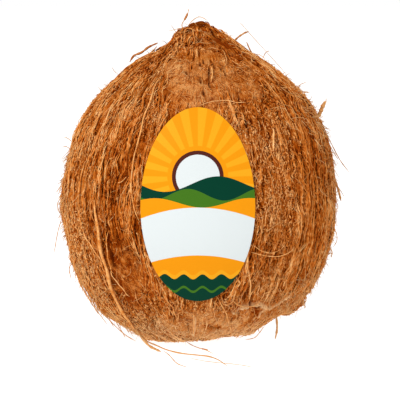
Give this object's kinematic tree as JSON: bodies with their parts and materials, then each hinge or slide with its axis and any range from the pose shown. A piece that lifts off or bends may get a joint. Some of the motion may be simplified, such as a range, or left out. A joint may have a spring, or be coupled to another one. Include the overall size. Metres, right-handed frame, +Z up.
{
  "type": "coconut",
  "caption": "Ripe coconut husked down to its brown coir fibre, standing stub up on a small flat spot, with an oval paper label on its front.",
  "frame": {"origin": "middle of the bounding box's underside, on the surface that the flat spot rests on", "axes": "+Z up from the flat spot to the stalk stub, the label faces -Y, +X to the right when looking at the label"},
  "size_m": [0.12, 0.117, 0.139],
  "materials": {
    "coir": "rough matted coconut fibre, orange-brown with dark gaps and paler strands",
    "label_paper": "printed paper, satin, orange with a white band and a green motif"
  },
  "bodies": {
    "root": {"coconut": "coir", "label": "label_paper"}
  },
  "joints": []
}
